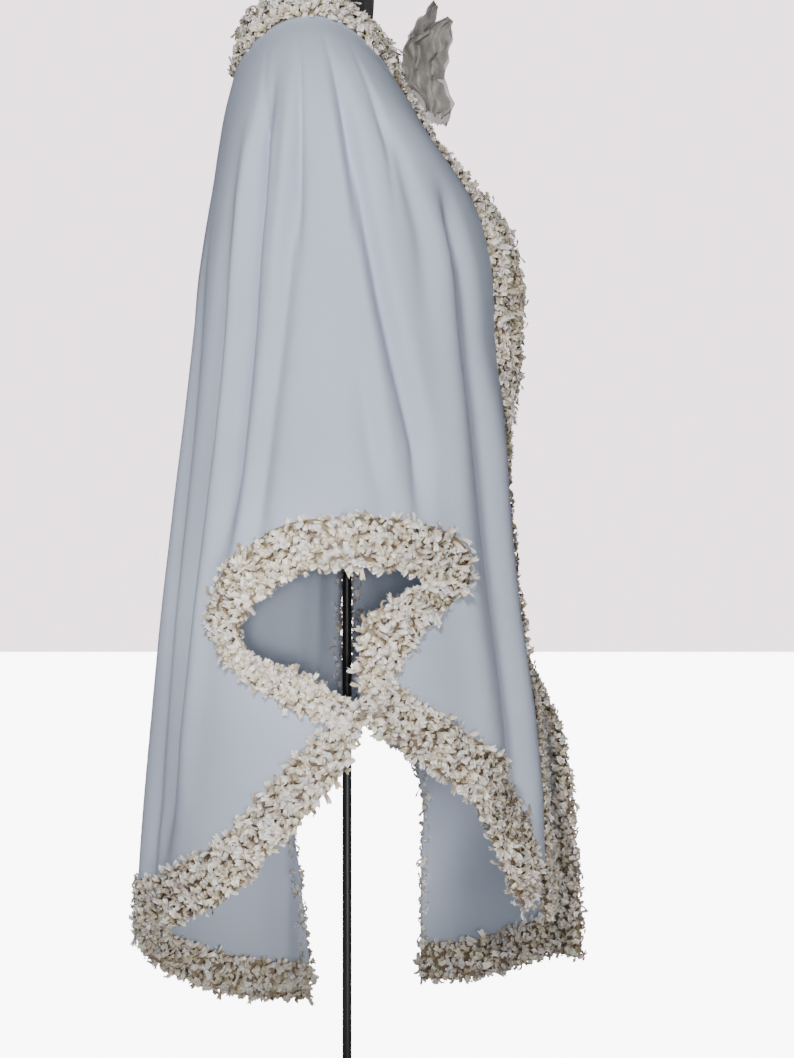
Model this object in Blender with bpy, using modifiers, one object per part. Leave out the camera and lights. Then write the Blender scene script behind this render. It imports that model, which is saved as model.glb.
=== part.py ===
"""Ruffle-edged burnous cape resting on a limbless dress form.

The cape is one bell-shaped surface around the form. Every panel and every ruffled
band is a stretch of that surface, found by two coordinates: turn (0 at the centre
back, 0.5 at the side, 1 at the centre front) and height in millimetres. The wearer
faces +X, the right side of the cape is at -Y, and the part stands on z = 0.
"""

import math
from collections import namedtuple

import bmesh
import bpy
from mathutils import Vector

MM = 0.001
RIGHT = -1
LEFT = 1

WALL = 2.0
SEAM_GAP = 0.6
BAND_GAP = 0.9
TRIM_WIDTH = 50.0
TRIM_OUT = 10.0
TRIM_IN = 4.0
WAVE_HEIGHT = 4.0
WAVE_REACH = 3.0

NECK_HEIGHT = 1406.0
COLLAR_HEIGHT = 1441.0
OPENING_TOP = 774.0
BACK_POWER = 2.2
FRONT_POWER = 1.9

SEAM_BACKWARD = 16.0
FLANGE_SHIFT = 4.5
FLANGE_LEAN = 6.0
FLANGE_ROOT = 0.2
FLANGE_GAP = 0.5
END_GAP = 0.4
CORNER_GAP = 0.9
BAND_STEP = 26.0

PIECE_GAP = 0.3
BASE_RADIUS = 180.0
BASE_HEIGHT = 14.0
BASE_BEVEL = 2.0
POLE_RADIUS = 6.0
SOCKET_RADIUS = 17.0
SOCKET_HEIGHT = 34.0
FORM_BOTTOM = 800.0
FORM_GAP = 0.8
FORM_CLOSE = 1340.0
FORM_TAPER = 0.2
FORM_HOLLOW = 10.0
FORM_ROWS = 6
ROUND = 40

# Girths of the bell, from the collar's top edge down. Back, front and middle are
# places along X, and the drops are how far the ring sinks at the centre back and front.
Girth = namedtuple("Girth", "height back front middle half_width back_drop front_drop")
GIRTHS = [
    Girth(1441, -131, 55, -42, 74, 27, 60),
    Girth(1406, -144, 72, -40, 97, 57, 80),
    Girth(1372, -157, 97, -34, 138, 78, 92),
    Girth(1335, -165, 122, -27, 172, 90, 98),
    Girth(1290, -171, 150, -20, 197, 88, 90),
    Girth(1235, -177, 171, -14, 213, 68, 68),
    Girth(1160, -185, 185, -8, 227, 35, 32),
    Girth(1080, -193, 194, -4, 239, 8, 6),
    Girth(1000, -199, 196, 0, 250, 0, 0),
    Girth(900, -208, 205, 0, 264, 0, 0),
    Girth(780, -221, 212, 0, 280, 0, 0),
    Girth(660, -235, 224, 0, 287, 0, 0),
    Girth(530, -248, 243, 0, 284, 0, 0),
    Girth(400, -260, 256, 0, 280, 0, 0),
    Girth(280, -268, 268, 0, 276, 0, 0),
    Girth(60, -276, 276, 0, 266, 0, 0),
]

# Folds run down the bell from a turn at the top to a turn at the bottom. A negative
# depth is a trough and a positive one a ridge. Side 0 stands for both sides.
Fold = namedtuple("Fold", "side top_turn top bottom_turn bottom spread depth")
FOLDS = [
    Fold(0, 0.060, 1250, 0.050, 300, 0.034, -12),
    Fold(0, 0.250, 1290, 0.180, 420, 0.028, -12),
    Fold(0, 0.384, 1372, 0.300, 830, 0.026, -16),
    Fold(0, 0.416, 1250, 0.370, 900, 0.024, -6),
    Fold(0, 0.533, 1361, 0.642, 860, 0.028, -15),
    Fold(0, 0.633, 1266, 0.620, 1060, 0.024, -5),
    Fold(0, 0.766, 1200, 0.820, 420, 0.032, -14),
    Fold(0, 0.870, 1000, 0.880, 420, 0.045, 10),
    Fold(LEFT, 0.432, 960, 0.438, 610, 0.024, -18),
    Fold(LEFT, 0.950, 620, 0.950, 60, 0.080, 38),
]
FOLD_FADE_IN = 160.0
FOLD_FADE_OUT = 120.0

# The free edge of each side, from the top of the arm opening to the tack and on to
# the hem corner. x and z are the panel's edge, band_x and band_z the band's edge.
Edge = namedtuple("Edge", "x z band_x band_z")
RIGHT_BACK_ARM = [
    Edge(1, 774, 1, 714),
    Edge(-60, 766, -42, 710),
    Edge(-110, 742, -77, 695),
    Edge(-145, 705, -104, 671),
    Edge(-162, 658, -123, 636),
    Edge(-150, 617, -112, 605),
    Edge(-119, 583, -80, 592),
    Edge(-75, 554, -48, 586),
    Edge(-40, 538, -18, 568),
    Edge(-10, 527, 21, 535),
]
RIGHT_BACK_SIDE = [
    Edge(-10, 527, 21, 535),
    Edge(-42, 500, 4, 478),
    Edge(-86, 449, -44, 420),
    Edge(-118, 415, -78, 384),
    Edge(-150, 381, -113, 343),
    Edge(-196, 350, -160, 303),
    Edge(-240, 322, -220, 270),
]
RIGHT_FRONT_ARM = [
    Edge(1, 774, 1, 714),
    Edge(60, 771, 50, 713),
    Edge(105, 763, 84, 708),
    Edge(136, 746, 98, 699),
    Edge(149, 715, 101, 692),
    Edge(143, 686, 90, 686),
    Edge(122, 661, 68, 678),
    Edge(95, 636, 43, 661),
    Edge(74, 608, 22, 632),
    Edge(60, 580, 23, 536),
]
RIGHT_FRONT_SIDE = [
    Edge(60, 580, 23, 536),
    Edge(82, 557, 54, 508),
    Edge(109, 543, 88, 488),
    Edge(136, 520, 112, 468),
    Edge(169, 495, 140, 446),
    Edge(203, 467, 163, 420),
    Edge(221, 435, 178, 388),
    Edge(229, 400, 189, 354),
    Edge(234, 365, 207, 318),
    Edge(240, 335, 226, 283),
]
# On the left side the bands stand outwards from the edge like a flange, so these
# rows give only the edge itself.
Line = namedtuple("Line", "x z")
LEFT_BACK_ARM = [Line(-1, 774), Line(-12, 740), Line(-15, 650), Line(-14, 580), Line(-5, 518)]
LEFT_BACK_SIDE = [
    Line(-5, 518),
    Line(-32, 450),
    Line(-62, 385),
    Line(-78, 333),
    Line(-72, 278),
    Line(-64, 200),
    Line(-58, 150),
]
LEFT_FRONT_ARM = [Line(3, 774), Line(2, 740), Line(3, 650), Line(3, 580), Line(-2, 518)]
LEFT_FRONT_SIDE = [
    Line(-2, 518),
    Line(44, 465),
    Line(86, 432),
    Line(101, 375),
    Line(99, 310),
    Line(98, 240),
    Line(98, 180),
]
BACK_HEM_HEIGHT = 280.0
RIGHT_FRONT_HEM_HEIGHT = 322.0
LEFT_FRONT_HEM_HEIGHT = 245.0

# Half of the front opening at each height, measured to the panel's edge.
Gap = namedtuple("Gap", "height edge")
FRONT_GAPS = [Gap(1441, 55), Gap(1000, 58), Gap(660, 64), Gap(280, 84), Gap(60, 88)]

# How far the free edge of a front band turns forwards of the cape's surface. A
# negative value is a band that turns in.
Flare = namedtuple("Flare", "height forward")
FLARES = [
    Flare(1441, 0),
    Flare(1330, 4),
    Flare(1230, 22),
    Flare(1100, 30),
    Flare(970, 24),
    Flare(900, 2),
    Flare(830, -20),
    Flare(620, -20),
    Flare(520, -4),
    Flare(400, 0),
    Flare(60, 0),
]
FLARE_ASIDE = 0.35

# The dress form: its neck, which leans forward, and its trunk below the shoulders.
Ring = namedtuple("Ring", "height x radius_x radius_y")
NECK = [
    Ring(1464, -24, 60, 54),
    Ring(1436, -26, 61, 55),
    Ring(1412, -29, 62, 57),
    Ring(1394, -34, 66, 64),
]
CAP = [Ring(1464.4, -24, 58, 52), Ring(1470, -24, 58, 52), Ring(1474, -24, 50, 44)]
Torso = namedtuple("Torso", "height back front half_width")
TORSO = [
    Torso(1140, -112, 120, 156),
    Torso(1080, -100, 112, 144),
    Torso(1020, -92, 92, 130),
    Torso(960, -98, 90, 132),
    Torso(880, -118, 102, 158),
    Torso(FORM_BOTTOM, -124, 110, 170),
]

# Steps for reading a normal off the surface, and the turn nearest to the middle
# plane at which one is read.
NORMAL_TURN = 0.004
NORMAL_HEIGHT = 3.0
POLE_TURN = 0.002

ROW_SPREAD = 1.25
UPPER_ROWS = 13
ARM_ROWS = 11
SIDE_ROWS = 9
BACK_COLUMNS = 16
FRONT_COLUMNS = 13


def blend(table, key, value, name):
    """Read one column of a table at any height, smoothly from row to row."""
    rows = sorted(table, key=lambda row: getattr(row, key))
    places = [getattr(row, key) for row in rows]
    levels = [getattr(row, name) for row in rows]
    value = min(max(value, places[0]), places[-1])
    k = max(i for i in range(len(rows) - 1) if places[i] <= value)
    slopes = []
    for i in (k, k + 1):
        low, high = max(i - 1, 0), min(i + 1, len(rows) - 1)
        slopes.append((levels[high] - levels[low]) / (places[high] - places[low]))
    span = places[k + 1] - places[k]
    t = (value - places[k]) / span
    return (
        levels[k] * (1 + 2 * t) * (1 - t) ** 2
        + slopes[0] * span * t * (1 - t) ** 2
        + levels[k + 1] * t * t * (3 - 2 * t)
        + slopes[1] * span * t * t * (t - 1)
    )


girths_read = {}


def girth_at(height):
    """The girth at any height; each is kept, as many points share one."""
    if height not in girths_read:
        values = [blend(GIRTHS, "height", height, name) for name in Girth._fields[1:]]
        girths_read[height] = Girth(height, *values)
    return girths_read[height]


def fold_depth(side, turn, height):
    """How far the folds push the cloth out at one place."""
    depth = 0.0
    for fold in FOLDS:
        if fold.side not in (0, side):
            continue
        run = (fold.top - height) / (fold.top - fold.bottom)
        along = min(max(run, 0.0), 1.0)
        centre = fold.top_turn + (fold.bottom_turn - fold.top_turn) * along
        grow = min(max((fold.top - height) / FOLD_FADE_IN, 0.0), 1.0)
        fade = min(max((height - fold.bottom) / FOLD_FADE_OUT + 1.0, 0.0), 1.0)
        shape = math.exp(-(((turn - centre) / fold.spread) ** 2))
        depth += fold.depth * shape * grow * grow * (3 - 2 * grow) * fade
    return depth


def cape_point(side, turn, height, folds=True):
    """The outer face of the cape at one turn and height."""
    girth = girth_at(height)
    c = math.cos(math.pi * turn)
    s = abs(math.sin(math.pi * turn))
    if c > 0:
        reach, drop, power = girth.middle - girth.back, girth.back_drop, BACK_POWER
    else:
        reach, drop, power = girth.front - girth.middle, girth.front_drop, FRONT_POWER
    x = -math.copysign(abs(c) ** (2 / power), c) * reach
    y = s ** (2 / power) * girth.half_width
    out = Vector((x / reach**2, y / girth.half_width**2))
    out.normalize()
    push = fold_depth(side, turn, height) if folds else 0.0
    return Vector(
        (
            girth.middle + x + out.x * push,
            side * (y + out.y * push),
            height - drop * c * c,
        )
    )


def turn_at_x(x, height):
    girth = girth_at(height)
    if x <= girth.middle:
        ratio = (girth.middle - x) / (girth.middle - girth.back)
        c = min(ratio, 1.0) ** (BACK_POWER / 2)
    else:
        ratio = (x - girth.middle) / (girth.front - girth.middle)
        c = -(min(ratio, 1.0) ** (FRONT_POWER / 2))
    return math.acos(c) / math.pi


def turn_at_gap(half_gap, height):
    """The turn near the centre front that lies half_gap from the middle plane."""
    girth = girth_at(height)
    s = (half_gap / girth.half_width) ** (FRONT_POWER / 2)
    return 1.0 - math.asin(min(s, 1.0)) / math.pi


def front_turn(height, nearer=0.0):
    half_gap = blend(FRONT_GAPS, "height", height, "edge")
    return turn_at_gap(half_gap - nearer, height)


def outward(side, turn, height, folds=True):
    """The unit normal of the cape's outer face."""
    step_turn, step_height = NORMAL_TURN, NORMAL_HEIGHT
    along = cape_point(side, turn + step_turn, height, folds)
    along -= cape_point(side, turn - step_turn, height, folds)
    up = cape_point(side, turn, height + step_height, folds)
    up -= cape_point(side, turn, height - step_height, folds)
    normal = along.cross(up)
    normal.normalize()
    return normal if side == RIGHT else -normal


def resample(table, count):
    """Points at equal steps along a smooth line through a table's rows."""
    names = table[0]._fields
    steps = [0.0]
    for a, b in zip(table, table[1:]):
        steps.append(steps[-1] + math.hypot(b.x - a.x, b.z - a.z))
    Row = namedtuple("Row", ("at",) + names)
    rows = [Row(at, *row) for at, row in zip(steps, table)]
    points = []
    for i in range(count):
        at = steps[-1] * i / (count - 1)
        points.append(type(table[0])(*(blend(rows, "at", at, name) for name in names)))
    return points


def material(name, colour, roughness, metallic=0.0):
    made = bpy.data.materials.new(name)
    made.use_nodes = True
    shader = made.node_tree.nodes["Principled BSDF"]
    shader.inputs["Base Color"].default_value = (*colour, 1.0)
    shader.inputs["Roughness"].default_value = roughness
    shader.inputs["Metallic"].default_value = metallic
    return made


def add_object(name, bm, finish, collection):
    mesh = bpy.data.meshes.new(name)
    bmesh.ops.scale(bm, vec=(MM, MM, MM), verts=bm.verts)
    bm.to_mesh(mesh)
    bm.free()
    mesh.materials.append(finish)
    mesh.shade_smooth()
    made = bpy.data.objects.new(name, mesh)
    collection.objects.link(made)
    return made


def sheet(name, grid, finish, collection, wall=WALL):
    """A wall of cloth: an open grid of its outer face, thickened inwards."""
    bm = bmesh.new()
    rows = [[bm.verts.new(point) for point in row] for row in grid]
    for upper, lower in zip(rows, rows[1:]):
        for k in range(len(upper) - 1):
            bm.faces.new((upper[k], lower[k], lower[k + 1], upper[k + 1]))
    made = add_object(name, bm, finish, collection)
    solid = made.modifiers.new("Wall", "SOLIDIFY")
    solid.thickness = wall * MM
    solid.offset = -1.0
    return made


def loft(name, rings, finish, collection):
    """A closed solid through equal rings of points, capped at both ends."""
    bm = bmesh.new()
    loops = [[bm.verts.new(point) for point in ring] for ring in rings]
    size = len(loops[0])
    for a, b in zip(loops, loops[1:]):
        for k in range(size):
            m = (k + 1) % size
            bm.faces.new((a[k], a[m], b[m], b[k]))
    bm.faces.new(loops[0])
    bm.faces.new(loops[-1])
    bmesh.ops.recalc_face_normals(bm, faces=bm.faces)
    return add_object(name, bm, finish, collection)


def row_places(start, end, columns):
    """Turns and heights of one row, eased in height from start to end."""
    places = []
    for k in range(columns):
        t = k / (columns - 1)
        turn = start[0] + (end[0] - start[0]) * t
        places.append((turn, start[1] + (end[1] - start[1]) * math.sin(t * math.pi / 2)))
    return places


def upper_heights():
    """Heights of the rows between the neck and the top of the arm opening."""
    span = NECK_HEIGHT - OPENING_TOP
    return [NECK_HEIGHT - span * (i / UPPER_ROWS) ** ROW_SPREAD for i in range(UPPER_ROWS)]


def seam_turn(height, toward):
    """The shoulder seam, from beside the neck down to the top of the arm opening."""
    share = (NECK_HEIGHT - height) / (NECK_HEIGHT - OPENING_TOP)
    x = (girth_at(height).middle - SEAM_BACKWARD) * (1 - share) + share
    return turn_at_x(x + toward * SEAM_GAP / 2, height)


def edge_rows(arm, below, toward):
    """Places on a panel's side edge, from the arm opening's top to the hem corner."""
    lines = resample(arm, ARM_ROWS) + resample(below, SIDE_ROWS)[1:]
    places = [(turn_at_x(line.x, line.z), line.z) for line in lines]
    places[0] = (seam_turn(OPENING_TOP, toward), OPENING_TOP)
    return places


def panel_rows(centre_turn, edges, hem, toward, columns):
    """Rows of a panel from its centre line to its seam and its free side edge."""
    rows = []
    for height in upper_heights():
        start = (centre_turn(height), height)
        rows.append(row_places(start, (seam_turn(height, toward), height), columns))
    for k, edge in enumerate(edges):
        centre = OPENING_TOP + (hem - OPENING_TOP) * k / (len(edges) - 1)
        rows.append(row_places((centre_turn(centre), centre), edge, columns))
    return rows


def on_cape(side, places):
    return [cape_point(side, turn, height) for turn, height in places]


# The cross-section of a ruffled band: share of the width, share of the thickness
# (positive is outwards), and how much of the wave it takes.
Knot = namedtuple("Knot", "across out wave")
BAND_SECTION = [
    Knot(0.0, -0.6, 0.0),
    Knot(0.0, 0.6, 0.0),
    Knot(0.22, 1.0, 1.0),
    Knot(0.62, 1.0, -1.0),
    Knot(0.95, 0.7, 1.0),
    Knot(1.0, -0.2, 0.0),
    Knot(0.70, -1.0, 0.0),
    Knot(0.25, -1.0, 0.0),
]
EDGE_KNOTS = 0.9
Line3 = namedtuple("Line3", "inner outer out root_out")


def finer(lines, longest):
    """Add a middle line wherever two lines are far apart."""
    result = [lines[0]]
    for a, b in zip(lines, lines[1:]):
        if (b.inner - a.inner).length > longest or (b.outer - a.outer).length > longest:
            out = (a.out + b.out).normalized()
            root_out = (a.root_out + b.root_out).normalized()
            inner, outer = (a.inner + b.inner) / 2, (a.outer + b.outer) / 2
            result.append(Line3(inner, outer, out, root_out))
        result.append(b)
    return result


def nudged(lines, start, end):
    """Draw in the two ends of a band, to leave its neighbours a gap."""
    lines = list(lines)
    for i, k, step in ((0, 1, start), (-1, -2, end)):
        a, b = lines[i], lines[k]
        inner = a.inner + (b.inner - a.inner).normalized() * step
        outer = a.outer + (b.outer - a.outer).normalized() * step
        lines[i] = Line3(inner, outer, a.out, a.root_out)
    return lines


def band(name, lines, finish, collection, root=1.0, gap=BAND_GAP):
    """A ruffled band along lines that run from a panel's edge to its free edge."""
    lines = finer(lines, BAND_STEP)
    rings = []
    last = len(lines) - 1
    for i, line in enumerate(lines):
        swing = 0.0 if i in (0, last) else (1.0 if i % 2 else -1.0)
        direction = (line.outer - line.inner).normalized()
        inner = line.inner + direction * gap
        across = line.outer - inner
        ring = []
        for knot in BAND_SECTION:
            lift = knot.out * (TRIM_OUT if knot.out > 0 else TRIM_IN)
            lift = lift * (root if knot.across == 0.0 else 1.0) + knot.wave * WAVE_HEIGHT * swing
            out = line.root_out if knot.across == 0.0 else line.out
            point = inner + across * knot.across + out * lift
            if knot.across > EDGE_KNOTS:
                point += direction * WAVE_REACH * swing
            ring.append(point)
        rings.append(ring)
    return loft(name, rings, finish, collection)


def surface_lines(side, edges, free):
    """Band lines between a panel's edge and a free edge, both given as places."""
    lines = []
    for (turn, height), (free_turn, free_height) in zip(edges, free):
        middle = max((turn + free_turn) / 2, POLE_TURN)
        out = outward(side, middle, (height + free_height) / 2)
        inner = cape_point(side, turn, height)
        root_out = outward(side, max(turn, POLE_TURN), height)
        lines.append(Line3(inner, cape_point(side, free_turn, free_height), out, root_out))
    return lines


def free_places(arm, below):
    rows = resample(arm, ARM_ROWS) + resample(below, SIDE_ROWS)[1:]
    return [(turn_at_x(row.band_x, row.band_z), row.band_z) for row in rows]


def flange_lines(edges, toward):
    """Lines of a band that stands outwards from the left side's edge."""
    lines = []
    last = len(edges) - 1
    for i, (turn, height) in enumerate(edges):
        base = cape_point(LEFT, turn, height)
        out = outward(LEFT, turn, height)
        low = cape_point(LEFT, *edges[max(i - 1, 0)])
        high = cape_point(LEFT, *edges[min(i + 1, last)])
        away = out.cross(high - low).normalized()
        if away.x * toward < 0:
            away = -away
        inner = base + away * FLANGE_SHIFT
        outer = inner + out * TRIM_WIDTH + away * FLANGE_LEAN
        lines.append(Line3(inner, outer, away, away))
    return lines


def make_cape(cloth, ruffle, collection):
    back_edges = {
        RIGHT: edge_rows(RIGHT_BACK_ARM, RIGHT_BACK_SIDE, -1),
        LEFT: edge_rows(LEFT_BACK_ARM, LEFT_BACK_SIDE, -1),
    }
    front_edges = {
        RIGHT: edge_rows(RIGHT_FRONT_ARM, RIGHT_FRONT_SIDE, 1),
        LEFT: edge_rows(LEFT_FRONT_ARM, LEFT_FRONT_SIDE, 1),
    }
    hems = {RIGHT: RIGHT_FRONT_HEM_HEIGHT, LEFT: LEFT_FRONT_HEM_HEIGHT}
    words = {RIGHT: "right", LEFT: "left"}
    backs, fronts = {}, {}
    for side in (RIGHT, LEFT):
        backs[side] = panel_rows(
            lambda height: 0.0, back_edges[side], BACK_HEM_HEIGHT, -1, BACK_COLUMNS
        )
        fronts[side] = panel_rows(front_turn, front_edges[side], hems[side], 1, FRONT_COLUMNS)

    grid = []
    for right, left in zip(backs[RIGHT], backs[LEFT]):
        grid.append(list(reversed(on_cape(LEFT, left))) + on_cape(RIGHT, right)[1:])
    sheet("back", grid, cloth, collection)
    grid = [list(reversed(on_cape(RIGHT, row))) for row in fronts[RIGHT]]
    sheet("front_right", grid, cloth, collection)
    grid = [on_cape(LEFT, row) for row in fronts[LEFT]]
    sheet("front_left", grid, cloth, collection)

    collar(backs, fronts, ruffle, collection)
    for side in (RIGHT, LEFT):
        front_band(side, fronts[side], words[side], ruffle, collection)
    hem_bands(backs, fronts, ruffle, collection)

    split = ARM_ROWS - 1
    runs = [
        ("right_back", surface_lines(
            RIGHT, back_edges[RIGHT], free_places(RIGHT_BACK_ARM, RIGHT_BACK_SIDE))),
        ("right_front", surface_lines(
            RIGHT, front_edges[RIGHT], free_places(RIGHT_FRONT_ARM, RIGHT_FRONT_SIDE))),
        ("left_back", flange_lines(back_edges[LEFT], -1)),
        ("left_front", flange_lines(front_edges[LEFT], 1)),
    ]
    for word, lines in runs:
        root, gap = (FLANGE_ROOT, FLANGE_GAP) if word.startswith("left") else (1.0, BAND_GAP)
        arm = nudged(lines[: split + 1], END_GAP, END_GAP)
        below = nudged(lines[split:], END_GAP, CORNER_GAP)
        band(f"arm_trim_{word}", arm, ruffle, collection, root, gap)
        band(f"side_trim_{word}", below, ruffle, collection, root, gap)


def collar(backs, fronts, finish, collection):
    """The neck band: it closes round the back and ends at both front edges."""
    lines = []
    limit = front_turn(NECK_HEIGHT, TRIM_WIDTH)
    for side in (RIGHT, LEFT):
        turns = [turn for turn, _ in backs[side][0]]
        turns += [turn for turn, _ in reversed(fronts[side][0])][1:]
        turns.append(limit)
        edges = [(turn, NECK_HEIGHT) for turn in turns]
        run = surface_lines(side, edges, [(turn, COLLAR_HEIGHT) for turn in turns])
        lines = list(reversed(run)) + lines[1:] if side == RIGHT else lines + run[1:]
    band("neck_trim", lines, finish, collection)


def flared(side, line, height):
    """Turn the free edge of a front band forwards or in, and its face with it."""
    forward = blend(FLARES, "height", height, "forward")
    outer = line.outer + Vector((forward, side * abs(forward) * FLARE_ASIDE, 0.0))
    before, after = line.outer - line.inner, outer - line.inner
    out = before.rotation_difference(after) @ line.out
    return Line3(line.inner, outer, out, (out + line.root_out).normalized())


def front_band(side, rows, word, finish, collection):
    """The band on a front edge, from the collar down past the hem."""
    heights = [row[0][1] for row in rows]
    heights.append(heights[-1] - TRIM_WIDTH)
    edges = [(front_turn(height), height) for height in heights]
    free = [(front_turn(height, TRIM_WIDTH), height) for height in heights]
    lines = [flared(side, line, height) for line, height in zip(
        surface_lines(side, edges, free), heights)]
    middle = (edges[0][0] + free[0][0]) / 2
    collar_out = outward(side, middle, (NECK_HEIGHT + COLLAR_HEIGHT) / 2)
    lines[0] = Line3(lines[0].inner, lines[0].outer, collar_out, collar_out)
    band(f"front_trim_{word}", nudged(lines, CORNER_GAP, 0.0), finish, collection)


def hem_bands(backs, fronts, finish, collection):
    right, left = backs[RIGHT][-1], backs[LEFT][-1]
    lines = []
    for side, edges in ((RIGHT, right), (LEFT, left)):
        free = [(turn, height - TRIM_WIDTH) for turn, height in edges]
        run = surface_lines(side, edges, free)
        lines = list(reversed(run)) if side == RIGHT else lines + run[1:]
    band("hem_trim_back", nudged(lines, CORNER_GAP, CORNER_GAP), finish, collection)
    edges = fronts[LEFT][-1]
    start = front_turn(edges[0][1] - TRIM_WIDTH) - edges[0][0]
    count = len(edges) - 1
    free = []
    for k, (turn, height) in enumerate(edges):
        free.append((turn + start * (1 - k / count), height - TRIM_WIDTH))
    lines = nudged(surface_lines(LEFT, edges, free), CORNER_GAP, CORNER_GAP)
    band("hem_trim_front_left", lines, finish, collection)


def oval(x, y, z, radius_x, radius_y, turns):
    """A level ring that starts at the back and goes round by the right side."""
    ring = []
    for turn in turns:
        a = math.pi * turn
        ring.append(Vector((x - radius_x * math.cos(a), y - radius_y * math.sin(a), z)))
    return ring


def form_turns():
    """Turns of the form's points: the panels' own columns, to lie evenly under them."""
    seam = seam_turn(NECK_HEIGHT, 0)
    front = front_turn(NECK_HEIGHT)
    half = [seam * k / (BACK_COLUMNS - 1) for k in range(BACK_COLUMNS)]
    half += [seam + (front - seam) * k / (FRONT_COLUMNS - 1) for k in range(1, FRONT_COLUMNS)]
    half += [(front + 1.0) / 2, 1.0]
    return half


def make_form(finish, collection):
    """The form: it follows the cape over the shoulders, then it narrows to the hip."""
    half = form_turns()
    whole = half + [2.0 - turn for turn in reversed(half)][1:-1]
    rings = [oval(r.x, 0, r.height, r.radius_x, r.radius_y, whole) for r in NECK]
    for height in upper_heights()[1:FORM_ROWS]:
        deeper = max(0.0, FORM_CLOSE - height) * FORM_TAPER
        ring = []
        for turn in whole:
            side = RIGHT if turn <= 1.0 else LEFT
            folded = turn if turn <= 1.0 else 2.0 - turn
            at = min(max(folded, POLE_TURN), 1.0 - POLE_TURN)
            c = math.cos(math.pi * folded)
            inset = WALL + FORM_GAP + deeper + FORM_HOLLOW * c * c
            ring.append(
                cape_point(side, folded, height, folds=False)
                - outward(side, at, height, folds=False) * inset
            )
        rings.append(ring)
    for row in TORSO:
        middle = (row.back + row.front) / 2
        reach = (row.front - row.back) / 2
        rings.append(oval(middle, 0, row.height, reach, row.half_width, whole))
    loft("form_torso", rings, finish, collection)


def turned(name, rings, finish, collection):
    turns = [2 * k / ROUND for k in range(ROUND)]
    return loft(name, [oval(x, 0, z, rx, ry, turns) for z, x, rx, ry in rings], finish, collection)


def make_stand(finish, collection):
    turned("neck_cap", CAP, finish, collection)
    rim = BASE_RADIUS - BASE_BEVEL
    top = BASE_HEIGHT
    rings = [
        Ring(0, 0, rim, rim),
        Ring(BASE_BEVEL, 0, BASE_RADIUS, BASE_RADIUS),
        Ring(top - BASE_BEVEL, 0, BASE_RADIUS, BASE_RADIUS),
        Ring(top, 0, rim, rim),
    ]
    turned("stand_base", rings, finish, collection)
    low, high = BASE_HEIGHT + PIECE_GAP, FORM_BOTTOM - PIECE_GAP
    socket = SOCKET_RADIUS
    rings = [
        Ring(low, 0, socket, socket),
        Ring(low + SOCKET_HEIGHT, 0, socket, socket),
        Ring(low + SOCKET_HEIGHT, 0, POLE_RADIUS, POLE_RADIUS),
        Ring(high, 0, POLE_RADIUS, POLE_RADIUS),
    ]
    turned("stand_pole", rings, finish, collection)


# Each ear of the bow: a crumpled strip that opens from the knot. Rows give the
# middle of the strip from the knot's centre, its width and the depth of its pleat.
Ear = namedtuple("Ear", "x y z width pleat")
BOW_LOOP = [
    Ear(1, 7.6, 6.8, 11, 3),
    Ear(12, 20, 26, 46, 9),
    Ear(21, 32, 52, 58, 10),
    Ear(31, 42, 77, 46, 8),
    Ear(41, 48, 98, 18, 4),
]
BOW_TAIL = [
    Ear(3, 8.6, -9.1, 11, 3),
    Ear(21, 19, -20, 42, 7),
    Ear(34, 27, -34, 56, 8),
    Ear(36, 31, -55, 30, 6),
]
EAR_POINTS = 7
EAR_TURN = 0.8
EAR_DROP = 0.35
EAR_CUP = 0.25
BOW_WALL = 1.0
KNOT_CENTRE = Vector((83.3, 0.0, 1348.0))
KNOT_SIZE = (8.0, 11.0, 8.0)


def ear_row(side, row):
    """One pleated row across a loop or a tail."""
    points = []
    for k in range(EAR_POINTS):
        share = k / (EAR_POINTS - 1) - 0.5
        pleat = row.pleat / (2 if k % 2 else -2)
        x = row.x + row.width * share * EAR_TURN + pleat * EAR_DROP
        y = row.y + pleat + row.width * EAR_CUP * share
        points.append(KNOT_CENTRE + Vector((x, side * y, row.z - row.width * share * EAR_DROP)))
    return points


def make_bow(finish, collection):
    for side, word in ((RIGHT, "right"), (LEFT, "left")):
        for part, table in (("loop", BOW_LOOP), ("tail", BOW_TAIL)):
            grid = [ear_row(side, row) for row in table]
            sheet(f"bow_{part}_{word}", grid, finish, collection, wall=BOW_WALL)
    bm = bmesh.new()
    bmesh.ops.create_uvsphere(bm, u_segments=12, v_segments=8, radius=1.0)
    bmesh.ops.scale(bm, vec=KNOT_SIZE, verts=bm.verts)
    bmesh.ops.translate(bm, vec=KNOT_CENTRE, verts=bm.verts)
    add_object("bow_knot", bm, finish, collection)


def main():
    for old in list(bpy.data.objects):
        bpy.data.objects.remove(old, do_unlink=True)
    collection = bpy.data.collections.new("burnous_cape_on_form")
    bpy.context.scene.collection.children.link(collection)
    cloth = material("white_crepe", (0.62, 0.66, 0.70), 0.75)
    ruffle = material("ivory_ruffle", (0.75, 0.70, 0.58), 0.45)
    organza = material("organza", (0.58, 0.57, 0.53), 0.55)
    black = material("black_jersey", (0.012, 0.012, 0.015), 0.85)
    metal = material("black_metal", (0.02, 0.02, 0.022), 0.4, 0.6)

    make_cape(cloth, ruffle, collection)
    make_form(black, collection)
    make_stand(metal, collection)
    make_bow(organza, collection)


main()
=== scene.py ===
"""Looks of the ruffle-edged burnous cape: cloth, ruffles, bow, form, room and light.

Every place on the cape is found by two coordinates: turn (0 at the centre back, 0.5
at the side, 1 at the centre front) and height in millimetres. Meshes are in metres.
"""

import math

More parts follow.
